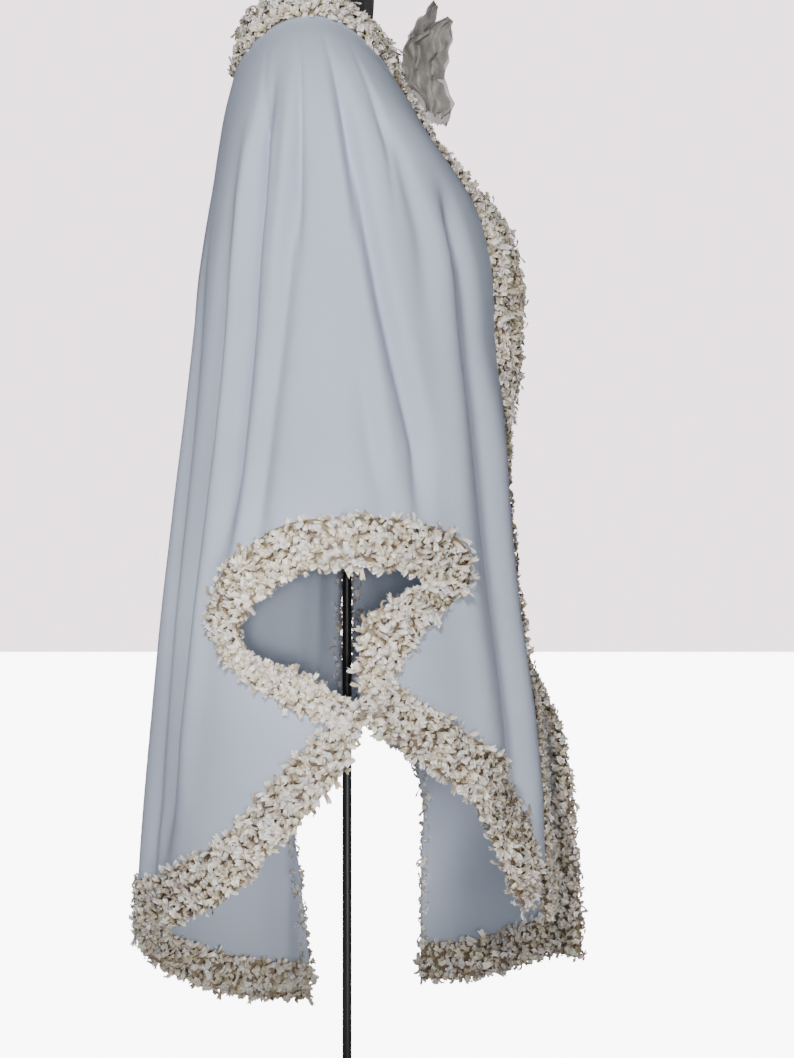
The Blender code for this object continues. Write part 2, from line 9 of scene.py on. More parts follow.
import bmesh
import bpy
import numpy as np
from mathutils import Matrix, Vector


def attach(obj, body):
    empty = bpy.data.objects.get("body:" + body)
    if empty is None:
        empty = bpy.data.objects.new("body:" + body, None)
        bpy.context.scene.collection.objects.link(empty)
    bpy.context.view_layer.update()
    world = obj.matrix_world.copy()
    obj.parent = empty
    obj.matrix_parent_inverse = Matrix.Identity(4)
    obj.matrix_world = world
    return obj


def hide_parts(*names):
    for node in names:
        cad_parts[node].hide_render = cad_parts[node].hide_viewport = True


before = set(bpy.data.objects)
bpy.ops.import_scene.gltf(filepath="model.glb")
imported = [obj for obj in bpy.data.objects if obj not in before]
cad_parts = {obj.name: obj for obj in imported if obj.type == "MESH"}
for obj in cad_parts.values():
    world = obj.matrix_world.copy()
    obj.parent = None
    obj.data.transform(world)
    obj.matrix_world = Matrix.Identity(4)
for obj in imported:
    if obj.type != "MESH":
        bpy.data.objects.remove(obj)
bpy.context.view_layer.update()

SEED = 41
rng = np.random.default_rng(SEED)
TINY = 1e-9

MM = 0.001
RIGHT = -1
LEFT = 1

# The cape's heights and bands, and how its panels' grids are spread, in millimetres.
SEAM_BACKWARD = 16.0
NECK_HEIGHT = 1406.0
COLLAR_HEIGHT = 1441.0
OPENING_TOP = 774.0
TRIM_WIDTH = 50.0
BACK_POWER = 2.2
FRONT_POWER = 1.9
ROW_SPREAD = 1.25
UPPER_STEPS = 13
ARM_STEPS = 10
SIDE_STEPS = 8

# Columns: height, back, front, middle, half width, back drop, front drop.
GIRTHS = np.array([
    (1441, -131, 55, -42, 74, 27, 60),
    (1406, -144, 72, -40, 97, 57, 80),
    (1372, -157, 97, -34, 138, 78, 92),
    (1335, -165, 122, -27, 172, 90, 98),
    (1290, -171, 150, -20, 197, 88, 90),
    (1235, -177, 171, -14, 213, 68, 68),
    (1160, -185, 185, -8, 227, 35, 32),
    (1080, -193, 194, -4, 239, 8, 6),
    (1000, -199, 196, 0, 250, 0, 0),
    (900, -208, 205, 0, 264, 0, 0),
    (780, -221, 212, 0, 280, 0, 0),
    (660, -235, 224, 0, 287, 0, 0),
    (530, -248, 243, 0, 284, 0, 0),
    (400, -260, 256, 0, 280, 0, 0),
    (280, -268, 268, 0, 276, 0, 0),
    (60, -276, 276, 0, 266, 0, 0),
], dtype=float)

# Side (0 for both), spread in turns, depth, and the fold's line as heights and turns.
FOLDS = [
    (0, 0.034, -13, (1250, 300), (0.060, 0.050)),
    (0, 0.026, -17, (1290, 420), (0.250, 0.180)),
    (0, 0.024, -22, (1372, 1244, 1102, 977, 830), (0.384, 0.325, 0.311, 0.302, 0.292)),
    (
        0, 0.024, -14, (1290, 1237, 1146, 1015, 894, 800),
        (0.432, 0.425, 0.410, 0.384, 0.366, 0.355),
    ),
    (
        0, 0.021, -22, (1361, 1219, 1137, 1031, 920, 860),
        (0.533, 0.544, 0.560, 0.589, 0.632, 0.655),
    ),
    (0, 0.024, -9, (1010, 957, 855, 800), (0.530, 0.538, 0.562, 0.585)),
    (0, 0.022, -8, (1345, 1295, 1230, 1120), (0.575, 0.608, 0.650, 0.680)),
    (
        0, 0.026, -25, (1240, 1178, 1065, 931, 799, 653, 440),
        (0.752, 0.762, 0.784, 0.805, 0.826, 0.838, 0.838),
    ),
    (0, 0.045, 10, (1000, 420), (0.870, 0.880)),
    (LEFT, 0.024, -20, (960, 610), (0.432, 0.438)),
    (LEFT, 0.080, 38, (620, 60), (0.950, 0.950)),
    # Finer folds, which the solids don't carry.
    (0, 0.020, 8, (1200, 300), (0.115, 0.100)),
    (0, 0.012, -8, (1230, 330), (0.142, 0.140)),
    (0, 0.022, 8, (1330, 500), (0.290, 0.235)),
    (0, 0.018, 7, (1372, 700), (0.425, 0.320)),
    (0, 0.020, 7, (1361, 850), (0.490, 0.590)),
    (0, 0.030, 9, (1240, 500), (0.715, 0.760)),
    (0, 0.009, -8, (1405, 1180), (0.452, 0.425)),
    (0, 0.009, -8, (1405, 1180), (0.522, 0.535)),
    (0, 0.010, -6, (1400, 1250), (0.350, 0.320)),
    (0, 0.010, -6, (1400, 1250), (0.600, 0.625)),
]
# A fold deepens over its fade in, which is longer for those near the centre back.
FOLD_FADE_IN = 160.0
BACK_FADE_IN = 420.0
BACK_FOLDS_END = 0.28
FOLD_FADE_OUT = 120.0

# Side edges. Columns: x, z, and x and z of the band's free edge.
RIGHT_BACK_ARM = np.array([
    (1, 774, 1, 714), (-60, 766, -42, 710), (-110, 742, -77, 695), (-145, 705, -104, 671),
    (-162, 658, -123, 636), (-150, 617, -112, 605), (-119, 583, -80, 592),
    (-75, 554, -48, 586), (-40, 538, -18, 568), (-10, 527, 21, 535),
], dtype=float)
RIGHT_BACK_SIDE = np.array([
    (-10, 527, 21, 535), (-42, 500, 4, 478), (-86, 449, -44, 420), (-118, 415, -78, 384),
    (-150, 381, -113, 343), (-196, 350, -160, 303), (-240, 322, -220, 270),
], dtype=float)
RIGHT_FRONT_ARM = np.array([
    (1, 774, 1, 714), (60, 771, 50, 713), (105, 763, 84, 708), (136, 746, 98, 699),
    (149, 715, 101, 692), (143, 686, 90, 686), (122, 661, 68, 678), (95, 636, 43, 661),
    (74, 608, 22, 632), (60, 580, 23, 536),
], dtype=float)
RIGHT_FRONT_SIDE = np.array([
    (60, 580, 23, 536), (82, 557, 54, 508), (109, 543, 88, 488), (136, 520, 112, 468),
    (169, 495, 140, 446), (203, 467, 163, 420), (221, 435, 178, 388), (229, 400, 189, 354),
    (234, 365, 207, 318), (240, 335, 226, 283),
], dtype=float)
LEFT_BACK_ARM = np.array([
    (-1, 774), (-12, 740), (-15, 650), (-14, 580), (-5, 518),
], dtype=float)
LEFT_BACK_SIDE = np.array([
    (-5, 518), (-32, 450), (-62, 385), (-78, 333), (-72, 278), (-64, 200), (-58, 150),
], dtype=float)
LEFT_FRONT_ARM = np.array([(3, 774), (2, 740), (3, 650), (3, 580), (-2, 518)], dtype=float)
LEFT_FRONT_SIDE = np.array([
    (-2, 518), (44, 465), (86, 432), (101, 375), (99, 310), (98, 240), (98, 180),
], dtype=float)
BACK_HEM = 280.0
FRONT_HEM = {RIGHT: 322.0, LEFT: 245.0}
# Half of the front opening. Columns: height, distance of the edge from the middle.
FRONT_GAPS = np.array([(1441, 55), (1000, 58), (660, 64), (280, 84), (60, 88)], dtype=float)

# How far the free edge of a front band turns forwards. Columns: height, forward.
FLARES = np.array([
    (1441, 0), (1330, 4), (1230, 22), (1100, 30), (970, 24), (900, 2), (830, -20),
    (620, -20), (520, -4), (400, 0), (60, 0),
], dtype=float)
FLARE_ASIDE = 0.35

# Steps of turn and height for the cape's outward direction, which keeps off its poles.
NORMAL_TURN = 0.004
NORMAL_HEIGHT = 3.0
POLE_TURN = 0.005


def read(table, value, column):
    """One column of a table at any values of its first, smoothly from row to row."""
    rows = table[np.argsort(table[:, 0])]
    places, levels = rows[:, 0], rows[:, column]
    value = np.clip(value, places[0], places[-1])
    slopes = np.gradient(levels, places, edge_order=1)
    slopes[1:-1] = (levels[2:] - levels[:-2]) / (places[2:] - places[:-2])
    k = np.clip(np.searchsorted(places, value, side="right") - 1, 0, len(places) - 2)
    span = places[k + 1] - places[k]
    t = (value - places[k]) / span
    return (
        levels[k] * (1 + 2 * t) * (1 - t) ** 2
        + slopes[k] * span * t * (1 - t) ** 2
        + levels[k + 1] * t * t * (3 - 2 * t)
        + slopes[k + 1] * span * t * t * (t - 1)
    )


def fold_depth(side, turn, height):
    """How far the folds push the cape out, or in where it is negative."""
    depth = np.zeros(np.broadcast(turn, height).shape)
    for fold_side, spread, push, heights, turns in FOLDS:
        if fold_side not in (0, side):
            continue
        top, low = heights[0], heights[-1]
        centre = np.interp(height, heights[::-1], turns[::-1])
        reach = FOLD_FADE_IN if turns[0] > BACK_FOLDS_END else BACK_FADE_IN
        grow = np.clip((top - height) / reach, 0, 1)
        fade = np.clip((height - low) / FOLD_FADE_OUT + 1, 0, 1)
        shape = np.exp(-(((turn - centre) / spread) ** 2))
        depth += push * shape * grow * grow * (3 - 2 * grow) * fade
    return depth


def cape_point(side, turn, height):
    """Points of the cape's outer face at arrays of turns and heights."""
    turn, height = np.broadcast_arrays(np.asarray(turn, float), np.asarray(height, float))
    back, front, middle, half, back_drop, front_drop = (
        read(GIRTHS, height, k) for k in range(1, 7)
    )
    c = np.cos(np.pi * turn)
    s = np.abs(np.sin(np.pi * turn))
    rear = c > 0
    reach = np.where(rear, middle - back, front - middle)
    drop = np.where(rear, back_drop, front_drop)
    power = np.where(rear, BACK_POWER, FRONT_POWER)
    x = -np.sign(c) * np.abs(c) ** (2 / power) * reach
    y = s ** (2 / power) * half
    out_x, out_y = x / reach**2, y / half**2
    size = np.maximum(np.hypot(out_x, out_y), TINY)
    push = fold_depth(side, turn, height)
    return np.stack([
        middle + x + out_x / size * push,
        side * (y + out_y / size * push),
        height - drop * c * c,
    ], axis=-1)


def unit(v):
    return v / np.maximum(np.linalg.norm(v, axis=-1, keepdims=True), TINY)


def outward(side, turn, height):
    """The direction out of the cape."""
    turn = np.clip(turn, POLE_TURN, 1 - POLE_TURN)
    along = cape_point(side, turn + NORMAL_TURN, height)
    along = along - cape_point(side, turn - NORMAL_TURN, height)
    up = cape_point(side, turn, height + NORMAL_HEIGHT)
    up = up - cape_point(side, turn, height - NORMAL_HEIGHT)
    return -side * unit(np.cross(along, up))


def turn_at_x(x, height):
    """The turn at which the cape, before its folds, has this x."""
    middle, back, front = (read(GIRTHS, height, k) for k in (3, 1, 2))
    rear = np.clip((middle - x) / (middle - back), 0, 1) ** (BACK_POWER / 2)
    fore = -np.clip((x - middle) / (front - middle), 0, 1) ** (FRONT_POWER / 2)
    return np.arccos(np.where(x <= middle, rear, fore)) / np.pi


def front_turn(height, nearer=0.0):
    """The turn of the front edge, or of a line that much nearer the middle."""
    height = np.asarray(height, float)
    half_gap = read(FRONT_GAPS, height, 1) - nearer
    s = (half_gap / read(GIRTHS, height, 4)) ** (FRONT_POWER / 2)
    return 1 - np.arcsin(np.clip(s, 0, 1)) / np.pi


def resample(table, count):
    """Rows at equal steps along a smooth line through a table's rows."""
    steps = np.hypot(*np.diff(table[:, :2], axis=0).T)
    at = np.concatenate([[0], np.cumsum(steps)])
    keyed = np.column_stack([at, table])
    places = np.linspace(0, at[-1], count)
    columns = [read(keyed, places, k) for k in range(1, keyed.shape[1])]
    return np.column_stack(columns)


def seam_turn(height):
    """The turn of the shoulder seam, from the neck to the arm opening."""
    share = (NECK_HEIGHT - height) / (NECK_HEIGHT - OPENING_TOP)
    x = (read(GIRTHS, height, 3) - SEAM_BACKWARD) * (1 - share) + share
    return turn_at_x(x, height)


def panel_edges(side, rear, fine):
    """Side edge, its free edge and row shares, from the opening's top to the hem."""
    tables = {
        (RIGHT, True): (RIGHT_BACK_ARM, RIGHT_BACK_SIDE),
        (RIGHT, False): (RIGHT_FRONT_ARM, RIGHT_FRONT_SIDE),
        (LEFT, True): (LEFT_BACK_ARM, LEFT_BACK_SIDE),
        (LEFT, False): (LEFT_FRONT_ARM, LEFT_FRONT_SIDE),
    }
    arm, below = tables[side, rear]
    arm = resample(arm, ARM_STEPS * fine + 1)
    below = resample(below, SIDE_STEPS * fine + 1)
    rows = np.concatenate([arm, below[1:]])
    shares = np.linspace(0, 1, len(rows))
    turns = turn_at_x(rows[:, 0], rows[:, 1])
    turns[0] = seam_turn(np.array(OPENING_TOP))
    return rows, turns, shares


def upper_heights(fine):
    shares = np.linspace(0, 1, UPPER_STEPS * fine + 1)[:-1]
    return NECK_HEIGHT - (NECK_HEIGHT - OPENING_TOP) * shares**ROW_SPREAD


def panel_places(side, rear, fine, columns):
    """Turns and heights of a panel's grid, from its centre line to its side edge."""
    rows, edge_turns, shares = panel_edges(side, rear, fine)
    hem = BACK_HEM if rear else FRONT_HEM[side]
    upper = upper_heights(fine)
    centre = np.concatenate([upper, OPENING_TOP + (hem - OPENING_TOP) * shares])
    edge_height = np.concatenate([upper, rows[:, 1]])
    edge_turn = np.concatenate([seam_turn(upper), edge_turns])
    start = np.zeros_like(centre) if rear else front_turn(centre)
    t = np.linspace(0, 1, columns)[None, :]
    turn = start[:, None] + (edge_turn - start)[:, None] * t
    height = centre[:, None] + (edge_height - centre)[:, None] * np.sin(t * np.pi / 2)
    return turn, height


def grid_faces(rows, columns, flip=False):
    """Faces of a grid of points, row by row."""
    index = np.arange(rows * columns).reshape(rows, columns)
    quads = [index[:-1, :-1], index[1:, :-1], index[1:, 1:], index[:-1, 1:]]
    faces = np.stack(quads, axis=-1).reshape(-1, 4)
    return faces[:, ::-1] if flip else faces


def add_mesh(name, points, faces, finish, tone_and_painted_light=None):
    """An object from points in millimetres and faces of four corners."""
    mesh = bpy.data.meshes.new(name)
    mesh.from_pydata((np.asarray(points) * MM).tolist(), [], np.asarray(faces).tolist())
    mesh.shade_smooth()
    mesh.materials.append(finish)
    if tone_and_painted_light is not None:
        layer = mesh.attributes.new("tone_and_painted_light", "FLOAT", "POINT")
        layer.data.foreach_set("value", np.asarray(tone_and_painted_light, dtype=np.float32))
    made = bpy.data.objects.new(name, mesh)
    bpy.context.scene.collection.objects.link(made)
    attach(made, "root")
    return made


def put_together(parts):
    """Points and faces of several meshes as those of one."""
    counts = np.cumsum([0] + [len(points) for points, _ in parts])
    faces = [faces + count for (_, faces), count in zip(parts, counts)]
    return np.concatenate([points for points, _ in parts]), np.concatenate(faces)


# The cloth's grid: rows for each step of its edges, and columns of back and front.
CLOTH_FINE = 5
CLOTH_COLUMNS = {True: 72, False: 60}
CLOTH_WALL = 0.0015
MERGE_DISTANCE = 0.0004


def merge_close(made):
    """Sew shut the seams of a mesh, where its points lie on each other."""
    bm = bmesh.new()
    bm.from_mesh(made.data)
    bmesh.ops.remove_doubles(bm, verts=bm.verts, dist=MERGE_DISTANCE)
    bm.to_mesh(made.data)
    bm.free()
    made.data.shade_smooth()


def make_cloth(finish):
    """The whole cape as one cloth; the shoulder seams are sewn shut."""
    parts = []
    for side in (RIGHT, LEFT):
        for rear in (True, False):
            turn, height = panel_places(side, rear, CLOTH_FINE, CLOTH_COLUMNS[rear])
            grid = cape_point(side, turn, height).reshape(-1, 3)
            parts.append((grid, grid_faces(*turn.shape, flip=(side == RIGHT) == rear)))
    made = add_mesh("cape_cloth", *put_together(parts), finish)
    merge_close(made)
    wall = made.modifiers.new("Wall", "SOLIDIFY")
    wall.thickness = CLOTH_WALL
    wall.offset = -1.0
    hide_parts("back", "front_right", "front_left")


# A band: the samples of its lines, and its frills' step, rows and backing strip.
BAND_FINE = 12
NECK_SAMPLES = 160
FRONT_SAMPLES = 240
HEM_SAMPLES = 120
FLANGE_INSET = 4.5
FLANGE_LEAN = 6.0
BAND_STEP = 4.4
BAND_ROWS = 10
INNER_SHARE = 0.6
STRIP_COLUMNS = 5
# The backing strip is painted dark brown: painted shade between the frills.
STRIP_PAINTED_SHADE = 0.1
# How far the back hem's band fans out at its end to meet the side's band, in turns.
CORNER_REACH = {RIGHT: 0.026, LEFT: 0.0}
CORNER_POWER = 4

# How the frills' roots stray, and how they lean to the band's free edge.
ROOT_ACROSS = 0.06
ROOT_ALONG = 2.6
ROOT_LIFT = 0.3
LEAN_FROM = 0.35
LEAN = 0.9
LIFT_SPREAD = 0.16

# A frill: its grid, the range of each measure, and how clumps of them differ.
PETAL_ROWS = 5
PETAL_COLUMNS = 4
PETAL_LENGTH = (10.0, 16.5)
PETAL_WIDTH = (4.5, 8.5)
PETAL_RISE = (58, 96)
PETAL_FALL = (-95, 25)
PETAL_SKEW = (-0.35, 0.35)
ZIGZAG = 0.9
CURL = 0.12
# A frill's tone is drawn at random; the values near the top come out white on the ramp, a
# painted highlight.
TINT = (0.64, 0.2)
TINT_LIMITS = (0.2, 1.0)
CLUMP_SIZES = (41.0, 29.0, 19.0)
CLUMP_LENGTH = 0.3
CLUMP_TINT = 0.26


def even(lines, step):
    """Spread the lines of a band evenly along its middle."""
    inner, outer, out = lines
    middle = (inner + outer) / 2
    at = np.concatenate([[0], np.cumsum(np.linalg.norm(np.diff(middle, axis=0), axis=1))])
    places = np.linspace(0, at[-1], max(int(at[-1] / step), 2))
    return [
        np.stack([np.interp(places, at, part[:, k]) for k in range(3)], axis=1)
        for part in (inner, outer, out)
    ]


def surface_lines(side, turn, height, free_turn, free_height):
    """A band's lines on the cape: its sewn edge, its free edge and its outward face."""
    return [
        cape_point(side, turn, height),
        cape_point(side, free_turn, free_height),
        outward(side, (turn + free_turn) / 2, (height + free_height) / 2),
    ]


def joined(*runs):
    return [np.concatenate(parts) for parts in zip(*runs)]


def reversed_lines(lines):
    return [part[::-1] for part in lines]


def flange_lines(turn, height, toward):
    """Lines of a band that stands outwards from the left side's edge."""
    base = cape_point(LEFT, turn, height)
    out = outward(LEFT, turn, height)
    away = unit(np.cross(out, np.gradient(base, axis=0)))
    away *= np.where(away[:, :1] * toward < 0, -1, 1)
    inner = base + away * FLANGE_INSET
    return [inner, inner + out * TRIM_WIDTH + away * FLANGE_LEAN, away]


def flared(side, lines, height):
    """Turn the free edge of a front band forwards or in, and its face with it."""
    inner, outer, out = lines
    forward = read(FLARES, height, 1)
    outer = outer + np.stack(
        [forward, side * np.abs(forward) * FLARE_ASIDE, np.zeros_like(forward)], axis=-1
    )
    face = unit(np.cross(outer - inner, np.gradient(inner, axis=0)))
    face *= np.sign(np.sum(face * out, axis=-1, keepdims=True))
    return [inner, outer, face]


def hem_line(side, rear):
    """Turns and heights along a panel's hem."""
    turn, height = panel_places(side, rear, 1, HEM_SAMPLES)
    return turn[-1], height[-1]


def bands():
    """Every ruffled band: its name and its lines."""
    made = {}
    limit = front_turn(NECK_HEIGHT, TRIM_WIDTH)
    turn = np.linspace(0, limit, NECK_SAMPLES)
    run = [
        surface_lines(side, turn, NECK_HEIGHT, turn, COLLAR_HEIGHT)
        for side in (RIGHT, LEFT)
    ]
    made["neck_trim"] = joined(reversed_lines(run[0]), run[1])
    hems = []
    for side, word in ((RIGHT, "right"), (LEFT, "left")):
        height = np.linspace(NECK_HEIGHT - 2, FRONT_HEM[side] - TRIM_WIDTH, FRONT_SAMPLES)
        free = front_turn(height, TRIM_WIDTH)
        lines = surface_lines(side, front_turn(height), height, free, height)
        made[f"front_trim_{word}"] = flared(side, lines, height)
        for rear, end in ((True, "back"), (False, "front")):
            rows, turn, _ = panel_edges(side, rear, BAND_FINE)
            split = ARM_STEPS * BAND_FINE + 1
            if side == RIGHT:
                free = turn_at_x(rows[:, 2], rows[:, 3])
                lines = surface_lines(side, turn, rows[:, 1], free, rows[:, 3])
            else:
                lines = flange_lines(turn, rows[:, 1], -1 if rear else 1)
            made[f"arm_trim_{word}_{end}"] = [part[:split] for part in lines]
            made[f"side_trim_{word}_{end}"] = [part[split - 1:] for part in lines]
        turn, height = hem_line(side, True)
        share = np.linspace(0, 1, HEM_SAMPLES)
        free = turn + CORNER_REACH[side] * share**CORNER_POWER
        hems.append(surface_lines(side, turn, height, free, height - TRIM_WIDTH))
    made["hem_trim_back"] = joined(reversed_lines(hems[0]), hems[1])
    turn, height = hem_line(LEFT, False)
    shift = front_turn(height[0] - TRIM_WIDTH) - turn[0]
    shift = shift * np.linspace(1, 0, HEM_SAMPLES)
    made["hem_trim_front_left"] = surface_lines(
        LEFT, turn, height, turn + shift, height - TRIM_WIDTH
    )
    return made


def petals(root, out):
    """Small gathered frills: curled strips that stand on a band at the given roots."""
    n = len(root)
    spread = rng.normal(size=(n, 3))
    ahead = unit(np.cross(out, spread))
    across = np.cross(out, ahead)
    clump = np.zeros(n)
    for size in CLUMP_SIZES:
        way = unit(rng.normal(size=3))
        phase = root @ way * (2 * np.pi / size) + rng.uniform(0, 6.28)
        clump += np.sin(phase) / len(CLUMP_SIZES)
    length = rng.uniform(*PETAL_LENGTH, n) * (1 + CLUMP_LENGTH * clump)
    width = rng.uniform(*PETAL_WIDTH, n)
    rise = np.radians(rng.uniform(*PETAL_RISE, n))
    fall = np.radians(rng.uniform(*PETAL_FALL, n))
    skew = rng.uniform(*PETAL_SKEW, n)
    tone_and_painted_light = np.clip(rng.normal(*TINT, n) + CLUMP_TINT * clump, *TINT_LIMITS)
    go, up = np.zeros(n), np.zeros(n)
    points, tones_and_painted_light = [], []
    for i in range(PETAL_ROWS):
        v = i / (PETAL_ROWS - 1)
        if i:
            angle = rise + (fall - rise) * (i - 1) / (PETAL_ROWS - 2)
            go = go + np.cos(angle) * length / (PETAL_ROWS - 1)
            up = up + np.sin(angle) * length / (PETAL_ROWS - 1)
        for k in range(PETAL_COLUMNS):
            u = k / (PETAL_COLUMNS - 1) - 0.5
            zigzag = (ZIGZAG if k % 2 else -ZIGZAG) * (0.4 + v)
            aside = u * width * (0.62 + 0.5 * v) + skew * length * v * 0.5
            lift = np.maximum(up + zigzag + CURL * width * abs(u) * 2, 0.1)
            points.append(
                root
                + ahead * (go + zigzag * 0.6)[:, None]
                + out * lift[:, None]
                + across * aside[:, None]
            )
            # Painted shade: a frill darkens towards its root. Painted highlight: it
            # brightens towards its tip and along every other column's crinkle.
            tones_and_painted_light.append(tone_and_painted_light * (0.3 + 0.7 * v) + (0.3 * v if k % 2 else 0.0))
    points = np.stack(points, axis=1).reshape(-1, 3)
    tones_and_painted_light = np.stack(tones_and_painted_light, axis=1).reshape(-1)
    face = grid_faces(PETAL_ROWS, PETAL_COLUMNS)
    size = PETAL_ROWS * PETAL_COLUMNS
    faces = (face[None] + (np.arange(n) * size)[:, None, None]).reshape(-1, 4)
    return points, faces, tones_and_painted_light


def make_ruffle(node, lines, finish):
    """One band: a backing strip with frills on both of its faces."""
    inner, outer, out = even(lines, BAND_STEP)
    out = unit(out)
    n = len(inner)
    along = unit(np.gradient((inner + outer) / 2, axis=0))
    across = np.linspace(0, 1, STRIP_COLUMNS)[None, :, None]
    strip = inner[:, None] + (outer - inner)[:, None] * across
    # The backing strip takes its dark value here, painted shade under the frills.
    parts = [(
        strip.reshape(-1, 3), grid_faces(n, STRIP_COLUMNS),
        np.full(n * STRIP_COLUMNS, STRIP_PAINTED_SHADE),
    )]
    for face, share in ((1, 1.0), (-1, INNER_SHARE)):
        rows = int(round(BAND_ROWS * share))
        place = (np.arange(rows) + 0.5) / rows
        place = place[None, :] + rng.uniform(-ROOT_ACROSS, ROOT_ACROSS, (n, rows))
        root = inner[:, None] + (outer - inner)[:, None] * place[..., None]
        root = root + along[:, None] * rng.uniform(-ROOT_ALONG, ROOT_ALONG, (n, rows, 1))
        lift = np.repeat(out[:, None] * face, rows, axis=1).reshape(-1, 3)
        root = root.reshape(-1, 3) + lift * ROOT_LIFT
        lean = unit(outer - inner)[:, None] * (place[..., None] - LEAN_FROM) * LEAN
        stray = rng.normal(scale=LIFT_SPREAD, size=root.shape)
        lift = unit(lift + lean.reshape(-1, 3) + stray)
        parts.append(petals(root, lift))
    points, faces = put_together([part[:2] for part in parts])
    tones_and_painted_light = np.concatenate([part[2] for part in parts])
    made = add_mesh(f"ruffles_{node}", points, faces, finish, tones_and_painted_light)
    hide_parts(node)


# Columns: x, y, z from the knot's centre, width, pleat. Each loop goes out and back.
LOOPS = {
    RIGHT: np.array([
        (15, 14, 2, 66, 8), (19, 24, 22, 66, 10), (27, 33, 38, 54, 10),
        (38, 42, 50, 38, 7), (47, 47, 66, 14, 3),
    ], dtype=float),
    LEFT: np.array([
        (14, 9, 2, 50, 6), (12, 20, 28, 50, 9), (12, 30, 50, 34, 8),
        (19, 40, 76, 22, 5), (34, 48, 108, 9, 3),
    ], dtype=float),
}
TAILS = {
    side: np.array([
        (15, 14, 6, 66, 8), (20, 22, -16, 72, 10), (29, 28, -34, 64, 10),
        (30, 31, -56, 26, 6),
    ], dtype=float)
    for side in (RIGHT, LEFT)
}
KNOT_CENTRE = np.array([83.3, 0.0, 1348.0])
KNOT_SIZE = np.array([8.0, 11.0, 8.0])
KNOT_RINGS = 25
KNOT_COLUMNS = 48
KNOT_POLE = 0.12
EAR_ROWS = 40
EAR_COLUMNS = 46
LOOP_DEPTH = 13.0
# How an ear's width lies: forwards, outwards and down.
EAR_LEAN = (0.8, 0.25, -0.35)
PLEATS = 2.5
PLEAT_TWIST = 2.6
PLEAT_FORWARD = 0.35
FRAY = 1.6
FRAY_FROM = 0.97
CRUMPLE_SIZES = (38.0, 24.0, 15.0)
CRUMPLE_WAVES = 3
CRUMPLE_DEPTH = 0.07
ORGANZA_WALL = 0.0004
# Part, its tables, whether it comes back to the knot, and its seed.
EARS = (("loop", LOOPS, True, 5), ("tail", TAILS, False, 9))


def crumple(points, amount, seed):
    """Push points about by a few crossing waves, as crushed organza is."""
    wave = np.random.default_rng(seed)
    moved = np.zeros_like(points)
    for size in CRUMPLE_SIZES:
        for _ in range(CRUMPLE_WAVES):
            way = unit(wave.normal(size=3))
            push = unit(wave.normal(size=3))
            phase = points @ way * (2 * np.pi / size) + wave.uniform(0, 6.28)
            moved += np.sin(phase)[..., None] * push * size * CRUMPLE_DEPTH
    return points + moved * amount


def ear(side, table, looped, seed):
    """The points of a loop or tail, as rows from the knot out and, for a loop, back."""
    keyed = np.column_stack([np.arange(len(table)), table])
    last = len(table) - 1
    rows = EAR_ROWS * 2 if looped else EAR_ROWS
    v = np.linspace(0, 2 if looped else 1, rows)
    t = 1 - np.abs(1 - v) if looped else v
    back = np.where(v > 1, np.sin(np.pi * t), 0.0)
    x, y, z, width, pleat = (read(keyed, t * last, k)[:, None] for k in range(1, 6))
    u = np.linspace(-0.5, 0.5, EAR_COLUMNS)[None, :]
    phase = 2 * PLEATS * np.pi * (u + 0.5) + PLEAT_TWIST * v[:, None]
    fold = -0.5 * pleat * np.cos(phase)
    fray = np.random.default_rng(seed).normal(scale=FRAY, size=(1, EAR_COLUMNS))
    fray = fray * (t[:, None] > FRAY_FROM) * (0.0 if looped else 1.0)
    forward, outwards, down = EAR_LEAN
    points = np.stack([
        x + width * u * forward + fold * PLEAT_FORWARD,
        side * (y + fold + width * outwards * u - LOOP_DEPTH * back[:, None]),
        z + width * u * down + fray + np.zeros_like(u),
    ], axis=-1)
    amount = np.clip(t * 3, 0.15, 1.0)[:, None, None]
    return KNOT_CENTRE + crumple(points, amount, seed)


def knot():
    """The points of the bow's gathered knot, as rings from its underside up."""
    around = np.linspace(0, 2 * np.pi, KNOT_COLUMNS + 1)[None, :-1]
    pole = 0.5 * np.pi - KNOT_POLE
    up = np.linspace(-pole, pole, KNOT_RINGS)[:, None]
    gather = 1 + 0.07 * np.cos(9 * around + 2 * np.sin(3 * up)) * np.cos(up)
    ball = np.stack([
        np.cos(up) * np.cos(around) * gather,
        np.cos(up) * np.sin(around) * gather,
        np.sin(up) + 0 * around,
    ], axis=-1) * KNOT_SIZE + KNOT_CENTRE
    return np.concatenate([ball, ball[:, :1]], axis=1)


def make_bow(finish):
    """Two loops, two tails and the knot, each a sheet of organza."""
    grids = {}
    for side, word in ((RIGHT, "right"), (LEFT, "left")):
        for part, tables, looped, seed in EARS:
            grids[f"{part}_{word}"] = ear(side, tables[side], looped, seed + side)
    grids["knot"] = knot()
    for name, grid in grids.items():
        faces = grid_faces(*grid.shape[:2])
        made = add_mesh(f"organza_{name}", grid.reshape(-1, 3), faces, finish)
        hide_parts(f"bow_{name}")
        wall = made.modifiers.new("Wall", "SOLIDIFY")
        wall.thickness = ORGANZA_WALL


# Stitches and tacks: places along the seam, then sizes, in millimetres.
STITCH_STEP = 5.0
STITCH_LENGTH = 3.2
STITCH_HEIGHTS = np.array([-0.1, 0.35, -0.1])
STITCH_TURNS = (-0.0045, 0.0045)
STITCH_RADIUS = 0.3
SEAM_MARGINS = (6, 8)
TACKS = ((RIGHT, 22.0, 538.0), (LEFT, 1.5, 520.0))
TACK_THREADS = 7
TACK_STEP = 1.5
TACK_HALF = 9.0
TACK_RISE = 9.5
TACK_SAG = 8.0
TACK_RADIUS = 0.5
THREAD_SIDES = 6
THREAD_TILT = np.array([0.31, 0.87, 0.39])


